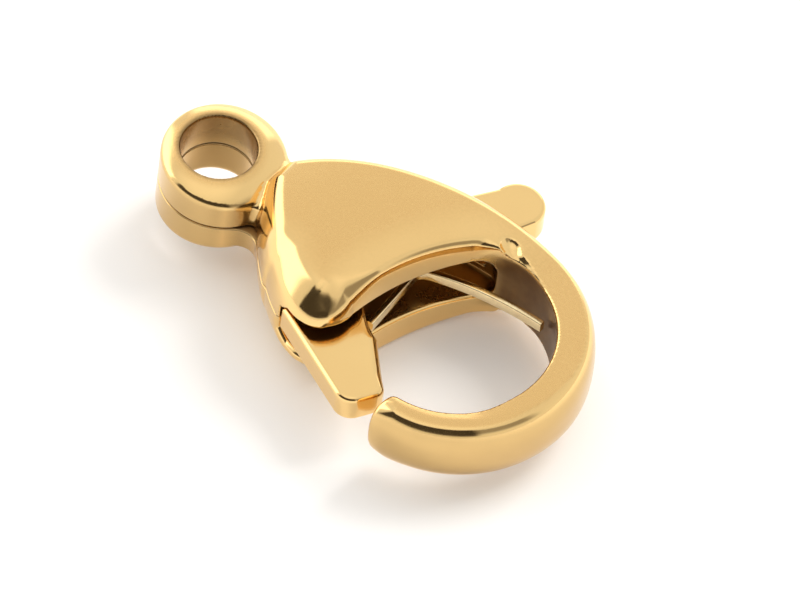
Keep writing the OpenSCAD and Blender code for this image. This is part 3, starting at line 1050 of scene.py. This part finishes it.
@dataclass
class GateLever:
    """The lever: gate, eye round the pivot and thumb tab, out of flat plate."""

    sizes: ClaspSizes = field(default_factory=ClaspSizes)
    grid: float = 0.05
    edge_round: float = 0.13
    knee_round: float = 0.15
    knee_edge: tuple[float, float] = (6.1, -1.7)
    knee_reach: Ease = Ease(1.3, 0.5)
    eye_play: float = 0.04
    satin: float = 0.1
    # The grid's far and low end, its room round the lever, and its spacing at the rims
    far_x: float = 7.15
    low_y: float = -3.4
    room: tuple[float, float, float] = (0.16, 0.19, 0.1)
    rim_grid: float = 0.03

    def __post_init__(self) -> None:
        """Works out the plate's outline."""
        s = self.sizes
        gate, heel = s.gate_c(), s.heel()
        inner = gate + s.gate_end_w * toward(s.gate_end_turn)
        turn = 270 - s.gate_slant
        tab, pivot = np.array(s.tab), np.array(s.pivot)
        knee, crotch = np.array(s.knee), np.array(s.crotch)
        hollow = arc_through(knee, crotch, s.crotch_r)
        face = s.gate_end_turn - angle_of((s.gate_r - s.gate_inner_r) / s.gate_end_w)
        reach = float(np.linalg.norm(knee - inner))
        back = direction(knee - inner) - angle_of(s.gate_inner_r / reach)
        end = hollow.b - 360 if hollow.b > hollow.a else hollow.b
        parts: list[Arc | Line] = [
            Line(heel, gate + s.gate_r * toward(turn)),
            Arc(gate, s.gate_r, turn, 360 + face),
            Arc(inner, s.gate_inner_r, face, back),
            Arc(hollow.centre, hollow.radius, hollow.a, end),
            Arc(tab, s.tab_r, *s.tab_turns),
            Line(np.array(s.tab_root) - np.array([0, 1e-3]), np.array(s.tab_root)),
            Arc(pivot, s.lever_eye_r, s.tab_neck_turn, direction(heel - pivot)),
        ]
        joined: list[Arc | Line] = []
        for part, after in zip(parts, parts[1:] + parts[:1]):
            joined.append(part)
            here, there = part.ends()[1], after.ends()[0]
            if np.linalg.norm(there - here) > 1e-4:
                joined.append(Line(here, there))
        self.outline = Outline(joined)

    def distance(self, x: Array, y: Array, z: Array) -> Array:
        """Signed distance of the lever, negative inside.

        Args:
            x: places along the clasp.
            y: places across it.
            z: heights out of the upper shell.

        Returns:
            The distances, negative inside.
        """
        s = self.sizes
        knee = np.hypot(x - self.knee_edge[0], y - self.knee_edge[1])
        edge = self.edge_round + self.knee_round * self.knee_reach(knee)
        d = round_max(self.outline.distance(x, y), np.abs(z) - s.lever_half, edge)
        hole = s.pin_r + self.eye_play - np.hypot(x - s.pivot[0], y - s.pivot[1])
        return round_max(d, hole, self.eye_play)

    def build(self, finish: bpy.types.Material) -> bpy.types.Object:
        """Makes the lever's mesh, with its finish and the shares that the finish reads.

        Args:
            finish: its material.

        Returns:
            The lever's object.
        """
        h, s = self.grid, self.sizes
        rim, top = s.lever_half - 0.04, s.lever_half + self.room[2]
        axes = (
            planes(s.pivot[0] - s.lever_eye_r - self.room[0], self.far_x, h),
            planes(self.low_y, s.tab[1] + s.tab_r + self.room[1], h),
            planes(-top, top, h, {rim: self.rim_grid, -rim: self.rim_grid}),
        )
        lever = Skin(self.distance, "gate_lever").mesh(axes, s, self.shares)
        lever.data.materials.append(finish)
        return lever

    def shares(self, p: Array, normal: Array) -> dict[Share, Array]:
        """How satin the lever is. It has no painted shade and no tarnish.

        Args:
            p: flat points of the surface; not used.
            normal: their normals.

        Returns:
            A number for every point, by the share that the finish reads.
        """
        up = np.abs(normal[:, 2])
        none = np.zeros_like(up)
        return {Share.SATIN: self.satin * FLAT_FACE(up), Share.SHADE: none, Share.SEAM: none}


# Finishes


def math_method(operation: str, swapped: bool = False) -> Callable:
    """An operator of Socket that builds one Math node.

    Args:
        operation: the node's operation.
        swapped: whether the socket is the second value.

    Returns:
        The operator.
    """
    def method(self: "Socket", other: "Socket | float") -> "Socket":
        """The node's result for this socket and another value."""
        a, b = (other, self) if swapped else (self, other)
        return self.tree.node("ShaderNodeMath", {"operation": operation}, {0: a, 1: b})
    return method


@dataclass(frozen=True)
class Socket:
    """A shader value whose operators build Math nodes."""

    tree: "NodeTree"
    link: bpy.types.NodeSocket

    __add__ = math_method("ADD")
    __radd__ = math_method("ADD", swapped=True)
    __sub__ = math_method("SUBTRACT")
    __rsub__ = math_method("SUBTRACT", swapped=True)
    __mul__ = math_method("MULTIPLY")
    __rmul__ = math_method("MULTIPLY", swapped=True)

    def clamp(self) -> "Socket":
        """The value kept between 0 and 1."""
        low = self.tree.node("ShaderNodeMath", {"operation": "MINIMUM"}, {0: self, 1: 1.0})
        return self.tree.node("ShaderNodeMath", {"operation": "MAXIMUM"}, {0: low, 1: 0.0})

    def ramp(self, low: float, high: float) -> "Socket":
        """0 below low, 1 above high, and even between."""
        return self.tree.node("ShaderNodeMapRange", {"clamp": True},
                              {"Value": self, "From Min": low, "From Max": high})


class NodeTree:
    """A shader node tree with one way to add nodes."""

    def __init__(self, tree: bpy.types.NodeTree, output: str) -> None:
        """Empties the tree and gives it its output.

        Args:
            tree: the tree of a material or a world.
            output: the type of its output node.
        """
        self.links = tree.links
        self.nodes = tree.nodes
        self.nodes.clear()
        self.output = self.nodes.new(output)

    def node(self, kind: str, settings: dict | None = None, inputs: dict | None = None,
             out: str | int = 0) -> Socket:
        """Adds a node.

        Args:
            kind: the node's type.
            settings: its properties, set first.
            inputs: values or sockets by input name or number.
            out: which output is wanted.

        Returns:
            The wanted output.
        """
        made = self.nodes.new(kind)
        for key, value in (settings or {}).items():
            setattr(made, key, value)
        for key, value in (inputs or {}).items():
            socket = made.inputs[key]
            if isinstance(value, Socket):
                self.links.new(value.link, socket)
            else:
                socket.default_value = value
        return Socket(self, made.outputs[out])

    def mix(self, share: Socket, a: Sequence[float] | Socket,
            b: Sequence[float] | Socket) -> Socket:
        """Colour a where share is 0 and b where it is 1.

        Args:
            share: from 0 to 1.
            a: a colour or its socket.
            b: a colour or its socket.

        Returns:
            The mixed colour.
        """
        def four(c: Sequence[float] | Socket) -> Sequence[float] | Socket:
            """A colour with its alpha."""
            return c if isinstance(c, Socket) else (*c, 1.0)
        return self.node("ShaderNodeMix", {"data_type": "RGBA"},
                         {0: share, 6: four(a), 7: four(b)}, out=2)

    def end(self, surface: Socket) -> None:
        """Links the last node to the output."""
        self.links.new(surface.link, self.output.inputs["Surface"])


class FinishTree(NodeTree):
    """A material's node tree."""

    def __init__(self, name: str) -> None:
        """Starts a material.

        Args:
            name: the material's name.
        """
        self.material = bpy.data.materials.new(name)
        self.material.use_nodes = True
        super().__init__(self.material.node_tree, "ShaderNodeOutputMaterial")

    def attribute(self, share: Share) -> Socket:
        """A number that the mesh carries."""
        return self.node("ShaderNodeAttribute", {"attribute_name": share.value}, out="Fac")

    def place(self) -> Socket:
        """The point in object coordinates, in metres."""
        return self.node("ShaderNodeTexCoord", out="Object")

    def noise(self, scale: float, detail: float = 2.0, rough: float = 0.5) -> Socket:
        """Even noise with so many lumps to the metre."""
        return self.node("ShaderNodeTexNoise", {}, {
            "Vector": self.place(), "Scale": scale, "Detail": detail, "Roughness": rough})

    def bump(self, height: Socket, strength: float, distance: float) -> Socket:
        """A normal that follows a height, whose full range is distance metres."""
        return self.node("ShaderNodeBump", {}, {
            "Height": height, "Strength": strength, "Distance": distance})

    def metal(self, colour: Socket, roughness: Socket, normal: Socket) -> bpy.types.Material:
        """Ends the tree in a metal surface and gives its material.

        Args:
            colour: its base colour.
            roughness: how rough it is.
            normal: its bumped normal.

        Returns:
            The material.
        """
        self.end(self.node("ShaderNodeBsdfPrincipled", {}, {
            "Base Color": colour, "Roughness": roughness, "Normal": normal, "Metallic": 1.0}))
        return self.material


@dataclass(frozen=True)
class Spot:
    """A round patch of the light tent, in degrees: it is full up to inner and gone from outer."""

    azimuth: float
    elevation: float
    inner: float
    outer: float
    strength: float


@dataclass(frozen=True)
class Panel:
    """A stretch of the light tent's wall, in degrees, with an edge that is so soft."""

    azimuth: float
    half: float
    low: float
    high: float
    strength: float
    soft: float = 6.0


class TentTree(NodeTree):
    """The node tree of the world: the light tent's walls, by direction from the clasp."""

    def __init__(self, name: str) -> None:
        """Starts a world and makes it the scene's.

        Args:
            name: the world's name.
        """
        world = bpy.data.worlds.new(name)
        world.use_nodes = True
        bpy.context.scene.world = world
        super().__init__(world.node_tree, "ShaderNodeOutputWorld")
        self.way = self.node("ShaderNodeTexCoord", out="Generated")
        level = self.vector("MULTIPLY", self.way, (1.0, 1.0, 0.0))
        self.level_way = self.vector("NORMALIZE", level)

    def vector(self, operation: str, a: Socket, b: Sequence[float] | None = None,
               out: str = "Vector") -> Socket:
        """A Vector Math node."""
        inputs = {0: a} if b is None else {0: a, 1: b}
        return self.node("ShaderNodeVectorMath", {"operation": operation}, inputs, out=out)

    def rise(self) -> Socket:
        """The sine of the elevation."""
        return self.vector("DOT_PRODUCT", self.way, (0.0, 0.0, 1.0), "Value")

    def spot(self, spot: Spot) -> Socket:
        """1 in the patch and 0 outside it.

        Args:
            spot: the patch.

        Returns:
            The mask.
        """
        level, rise = toward(spot.azimuth), toward(spot.elevation)
        aim = (level[0] * rise[0], level[1] * rise[0], rise[1])
        near = self.vector("DOT_PRODUCT", self.way, aim, "Value")
        return near.ramp(toward(spot.outer)[0], toward(spot.inner)[0])

    def panel(self, panel: Panel) -> Socket:
        """1 inside the stretch of wall and 0 outside it.

        Args:
            panel: the stretch of wall.

        Returns:
            The mask.
        """
        aim = (*toward(panel.azimuth), 0.0)
        turn = self.vector("DOT_PRODUCT", self.level_way, aim, "Value")
        side = turn.ramp(toward(panel.half + panel.soft)[0], toward(panel.half)[0])
        up = self.rise()
        above = up.ramp(toward(panel.low - panel.soft)[1], toward(panel.low)[1])
        below = up.ramp(toward(panel.high)[1], toward(panel.high + panel.soft)[1])
        return side * above * (1 - below)


@dataclass(frozen=True)
class GoldPlate:
    """Polished gold plating: satin or tarnished where the mesh says so, and darker and duller where
    shade is painted on it.
    """

    name: str = "gold_plate"
    light: tuple[float, float, float] = (0.93, 0.645, 0.275)
    # The deeper gold, for the random cloudy tone and for the painted shade on up-facing satin faces
    deep: tuple[float, float, float] = (0.78, 0.505, 0.2)
    # Colour of the painted shade in the hollows and on the shaded walls
    inside: tuple[float, float, float] = (0.14, 0.068, 0.025)
    tarnish: tuple[float, float, float] = (0.10, 0.06, 0.035)
    # How rough it is where it is polished, satin, and where shade is painted
    polish: float = 0.11
    satin: float = 0.24
    dull: float = 0.34
    # Lumps to the metre of its cloudy colour, its specks, its smears and its waves
    cloud_scale: float = 300.0
    speck_scale: float = 15000.0
    smear_scale: float = 1100.0
    wave_scale: float = 1500.0
    bump_height: float = 0.00002

    def make(self) -> bpy.types.Material:
        """Builds the material.

        Returns:
            The material.
        """
        t = FinishTree(self.name)
        satin, shade, seam = (t.attribute(share) for share in Share)
        cloud = t.noise(self.cloud_scale, 3).ramp(0.35, 0.7)
        speck = t.noise(self.speck_scale, 2).ramp(0.3, 0.7)
        smear = t.noise(self.smear_scale, 4, 0.6).ramp(0.42, 0.75)
        # Up-facing satin faces turn toward the deeper gold: painted shade, on top of the random
        # cloudy tone
        colour = t.mix((0.25 * cloud + satin * (0.7 + 0.3 * speck)).clamp(), self.light, self.deep)
        # Painted shade: the colour darkens toward the inside colour by the shade share
        colour = t.mix((shade * (0.91 + 0.09 * smear)).clamp(), colour, self.inside)
        colour = t.mix((0.9 * seam).clamp(), colour, self.tarnish)
        rough = (satin * (self.satin - self.polish) + shade * (self.dull - self.polish)
                 + smear * 0.035 + speck * satin * 0.05 + self.polish)
        height = speck * (0.1 + 0.9 * satin) + 0.7 * t.noise(self.wave_scale, 2)
        return t.metal(colour, rough, t.bump(height, 0.05, self.bump_height))


@dataclass(frozen=True)
class SpringStrip:
    """Rolled spring strip with a thin gold wash."""

    name: str = "spring_steel"
    colour: tuple[float, float, float] = (1.0, 0.83, 0.5)
    worn: tuple[float, float, float] = (0.8, 0.6, 0.33)
    streak_scale: float = 5200.0
    polish: float = 0.14
    bump_height: float = 0.00001

    def make(self) -> bpy.types.Material:
        """Builds the material.

        Returns:
            The material.
        """
        t = FinishTree(self.name)
        streak = t.noise(self.streak_scale, 3, 0.6).ramp(0.35, 0.7)
        colour = t.mix(0.6 * streak, self.colour, self.worn)
        rough = self.polish + 0.1 * streak
        return t.metal(colour, rough, t.bump(streak, 0.08, self.bump_height))


@dataclass(frozen=True)
class TurnedSteel:
    """Bare turned steel of the hidden pin."""

    name: str = "bare_steel"
    pale: tuple[float, float, float] = (0.62, 0.60, 0.56)
    deep: tuple[float, float, float] = (0.5, 0.48, 0.45)
    turning_scale: float = 9000.0
    polish: float = 0.28
    bump_height: float = 0.00001

    def make(self) -> bpy.types.Material:
        """Builds the material.

        Returns:
            The material.
        """
        t = FinishTree(self.name)
        turning = t.noise(self.turning_scale, 2)
        colour = t.mix(turning, self.pale, self.deep)
        rough = self.polish + 0.1 * turning
        return t.metal(colour, rough, t.bump(turning, 0.1, self.bump_height))


@dataclass
class LeafSpring:
    """The bent leaf between the hook's root and the gate, swept along its path by a node tree."""

    sizes: ClaspSizes = field(default_factory=ClaspSizes)
    thickness: float = 0.16
    width: float = 0.3
    edge_round: float = 0.035
    sharp: float = 40.0
    edge_steps: int = 4
    stations: int = 120
    # The strip's middle line in the plan, from the hook's side round the bend to the gate's
    path: tuple[tuple[float, float], ...] = (
        (8.40, 1.72), (7.9, 1.69), (7.4, 1.63), (6.9, 1.545), (6.4, 1.43), (5.95, 1.29),
        (5.66, 1.18), (5.47, 1.11), (5.34, 1.02), (5.28, 0.88), (5.285, 0.68), (5.31, 0.4),
        (5.345, 0.05), (5.375, -0.3), (5.405, -0.65), (5.435, -0.98))
    # The stretch of it that bends when the gate moves, given here but read by nothing
    bend_from: tuple[float, float, float] = (5.31, 0.4, 0.0)
    bend_to: tuple[float, float, float] = (5.435, -0.98, 0.0)

    def knobs(self) -> dict[str, float]:
        """The node tree's own inputs and their values."""
        return {"Strip Width": self.width, "Strip Thickness": self.thickness,
                "Edge Round": self.edge_round}

    def tree(self, material: bpy.types.Material) -> bpy.types.NodeTree:
        """The node tree that sweeps the strip along a curve.

        Args:
            material: the strip's finish.

        Returns:
            The node tree.
        """
        tree = bpy.data.node_groups.new("leaf_sweep", "GeometryNodeTree")
        face = tree.interface
        face.new_socket("Geometry", in_out="INPUT", socket_type="NodeSocketGeometry")
        for name in self.knobs():
            face.new_socket(name, in_out="INPUT", socket_type="NodeSocketFloat")
        face.new_socket("Geometry", in_out="OUTPUT", socket_type="NodeSocketGeometry")
        add = tree.nodes.new
        enter, leave = add("NodeGroupInput"), add("NodeGroupOutput")
        shape = add("GeometryNodeCurvePrimitiveQuadrilateral")
        round_off = add("GeometryNodeFilletCurve")
        round_off.mode = "POLY"
        round_off.inputs["Count"].default_value = self.edge_steps
        sample = add("GeometryNodeResampleCurve")
        sample.inputs["Count"].default_value = self.stations
        sweep = add("GeometryNodeCurveToMesh")
        sweep.inputs["Fill Caps"].default_value = True
        real, dress = add("GeometryNodeRealizeInstances"), add("GeometryNodeSetMaterial")
        dress.inputs["Material"].default_value = material
        for source, out, target, into in (
            (enter, "Geometry", sample, "Curve"), (sample, "Curve", sweep, "Curve"),
            (enter, "Strip Thickness", shape, "Width"), (enter, "Strip Width", shape, "Height"),
            (shape, "Curve", round_off, "Curve"), (enter, "Edge Round", round_off, "Radius"),
            (round_off, "Curve", sweep, "Profile Curve"), (sweep, "Mesh", real, "Geometry"),
            (real, "Geometry", dress, "Geometry"), (dress, "Geometry", leave, "Geometry"),
        ):
            tree.links.new(source.outputs[out], target.inputs[into])
        return tree

    def build(self, material: bpy.types.Material) -> bpy.types.Object:
        """Sweeps the leaf and turns it into a plain mesh.

        Args:
            material: the strip's finish.

        Returns:
            The leaf's object.
        """
        curve = bpy.data.curves.new("leaf_path", "CURVE")
        curve.dimensions = "3D"
        curve.twist_mode = "Z_UP"
        spline = curve.splines.new("NURBS")
        spline.points.add(len(self.path) - 1)
        for point, (x, y) in zip(spline.points, self.path):
            point.co = (x, y, 0.0, 1.0)
        spline.order_u = 4
        spline.use_endpoint_u = True
        spline.resolution_u = 12
        holder = add_object("leaf_path", curve)
        tree = self.tree(material)
        sweep = holder.modifiers.new("sweep", "NODES")
        sweep.node_group = tree
        for item in tree.interface.items_tree:
            if item.name in self.knobs():
                sweep[item.identifier] = self.knobs()[item.name]
        bpy.context.view_layer.update()
        evaluated = holder.evaluated_get(bpy.context.evaluated_depsgraph_get())
        mesh = bpy.data.meshes.new_from_object(evaluated)
        mesh.name = "leaf_spring"
        bpy.data.objects.remove(holder)
        flat = np.empty(len(mesh.vertices) * 3, np.float32)
        mesh.vertices.foreach_get("co", flat)
        mesh.vertices.foreach_set(
            "co", self.sizes.to_frame(flat.reshape(-1, 3).astype(float)).astype(np.float32).ravel())
        leaf = add_object("leaf_spring", mesh)
        if not mesh.materials:
            mesh.materials.append(material)
        for poly in mesh.polygons:
            poly.use_smooth = True
        mesh.set_sharp_from_angle(angle=math.radians(self.sharp))
        mesh.update()
        log.info("leaf_spring: %d faces", len(mesh.polygons))
        return leaf


# Studio


@dataclass(frozen=True)
class Studio:
    """Pale floor, soft light and the camera at the photograph's angle."""

    right: tuple[float, float, float] = (0.774, 0.630, 0.0775)
    down: tuple[float, float, float] = (0.542, -0.593, -0.597)
    pixels_per_mm: float = 43.0
    origin_pixel: tuple[float, float] = (215.7, 174.6)
    frame_pixels: tuple[int, int] = (800, 600)
    distance: float = 0.6
    floor_half: float = 0.6
    lamp_aim: tuple[float, float, float] = (0.005, 0.0, 0.0)
    # The tent is a little darker overhead. It has a patch over the nose, a brighter ceiling
    # behind, a pale back wall, a window on the ring's side, a darker wall on the hook's side
    # and a dark opening at the front
    level: float = 0.92
    overhead: float = 0.05
    nose_spot: Spot = Spot(-80, 76, 12, 34, 0.2)
    ceiling_spot: Spot = Spot(123, 53, 14, 40, 0.1)
    back_wall: Panel = Panel(115, 20, 3, 20, 0.9)
    window: Panel = Panel(190, 31, 3, 44, 1.3)
    side_wall: Panel = Panel(-14, 18, 18, 36, 0.6, 9)
    opening: Panel = Panel(-77, 42, 9, 45, 0.93, 5)

    def camera(self, sizes: ClaspSizes) -> None:
        """Sets the camera where the photograph was taken, with a long lens.

        Args:
            sizes: the clasp's sizes, for the way into the part's frame.
        """
        r = np.array(self.right) / np.linalg.norm(self.right)
        d = np.array(self.down) - np.dot(self.down, r) * r
        d /= np.linalg.norm(d)
        back = np.cross(r, -d)
        u = (self.frame_pixels[0] / 2 - self.origin_pixel[0]) / self.pixels_per_mm
        v = (self.frame_pixels[1] / 2 - self.origin_pixel[1]) / self.pixels_per_mm
        aim = sizes.to_frame((u * r + v * d)[None])[0]
        axes = sizes.to_frame(np.array([r, -d, back])) * 1000
        matrix = Matrix([list(row) for row in axes.T]).to_4x4()
        matrix.translation = Vector(aim + axes[2] * self.distance)
        data = bpy.data.cameras.new("camera")
        data.sensor_width = 36.0
        frame_mm = self.frame_pixels[0] / self.pixels_per_mm
        data.lens = self.distance * 1000 * data.sensor_width / frame_mm
        data.clip_start, data.clip_end = 0.01, 10.0
        camera = add_object("camera", data)
        camera.matrix_world = matrix
        bpy.context.scene.camera = camera

    def floor(self, level: float) -> None:
        """Lays the pale floor.

        Args:
            level: height of the lowest point of the clasp.
        """
        half = self.floor_half
        mesh = bpy.data.meshes.new("floor")
        mesh.from_pydata([(-half, -half, level), (half, -half, level), (half, half, level),
                          (-half, half, level)], [], [(0, 1, 2, 3)])
        floor = add_object("floor", mesh)
        t = FinishTree("floor_white")
        t.end(t.node("ShaderNodeBsdfPrincipled", {}, {
            "Base Color": (0.92, 0.91, 0.9, 1.0), "Roughness": 0.6, "Specular IOR Level": 0.2,
            "Emission Color": (1.0, 0.99, 0.985, 1.0), "Emission Strength": 0.1}))
        mesh.materials.append(t.material)
        floor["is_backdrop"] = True

    def lamp(self, name: str, place: tuple[float, float, float], size: float, power: float,
             colour: tuple[float, float, float]) -> None:
        """Hangs one soft square light that looks at the clasp.

        Args:
            name: the name of the light.
            place: where it hangs, in metres.
            size: the side of its square, in metres.
            power: in watts.
            colour: of its light.
        """
        data = bpy.data.lights.new(name, "AREA")
        data.shape, data.size, data.energy, data.color = "SQUARE", size, power, colour
        lamp = add_object(name, data)
        lamp.location = place
        aim = Vector(self.lamp_aim) - Vector(place)
        lamp.rotation_euler = aim.to_track_quat("-Z", "Y").to_euler()
        lamp.visible_glossy = False

    def light(self) -> None:
        """Lights the clasp as in a small light tent with its opening at the front."""
        t = TentTree("tent")
        level = self.level - t.rise().ramp(0.1, 0.8) * self.overhead
        for spot in (self.nose_spot, self.ceiling_spot):
            level = level + t.spot(spot) * spot.strength
        for wall in (self.back_wall, self.window):
            level = level + t.panel(wall) * wall.strength
        for wall in (self.side_wall, self.opening):
            level = level * (1 - t.panel(wall) * wall.strength)
        self.tint(t, level)
        self.lamp("back_light", (0.1, 0.3, 0.32), 0.22, 1.1, (1.0, 0.99, 0.97))

    def tint(self, t: TentTree, level: Socket) -> None:
        """Ends the tent in a light of that level, a little warm where it is dark."""
        colour = t.mix(level.ramp(0.0, 0.5), (1.0, 0.86, 0.7), (1.0, 0.99, 0.97))
        t.end(t.node("ShaderNodeBackground", {}, {"Color": colour, "Strength": level}))


def write_share(obj: bpy.types.Object, share: Share, values: Array) -> None:
    """Writes a number per vertex, from 0 to 1, that a finish reads."""
    layer = obj.data.attributes.new(share.value, "FLOAT", "POINT")
    layer.data.foreach_set("value", np.clip(values, 0, 1).astype(np.float32))


def main() -> None:
    """Builds every piece in order and reports it."""
    logging.basicConfig(level=logging.INFO, format="%(name)s %(message)s")
    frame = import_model()
    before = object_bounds()
    sizes = ClaspSizes()
    studio = Studio()
    studio.camera(sizes)
    bpy.context.scene.view_settings.view_transform = "Standard"
    gold, strip, steel = GoldPlate().make(), SpringStrip().make(), TurnedSteel().make()

    body = ShellBody(sizes).build(gold)
    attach(body, "body")
    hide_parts("body")

    lever = GateLever(sizes).build(gold)
    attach(lever, "lever")
    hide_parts("lever")

    spring = LeafSpring(sizes)
    leaf = spring.build(strip)
    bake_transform(leaf)
    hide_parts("spring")

    pin = frame["nodes"]["pivot_pin"]
    pin.data.materials.clear()
    pin.data.materials.append(steel)
    log.info("pivot_pin: turned steel")

    studio.floor(min(before[0][2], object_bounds()[0][2]))
    studio.light()


if __name__ == "__main__":
    main()
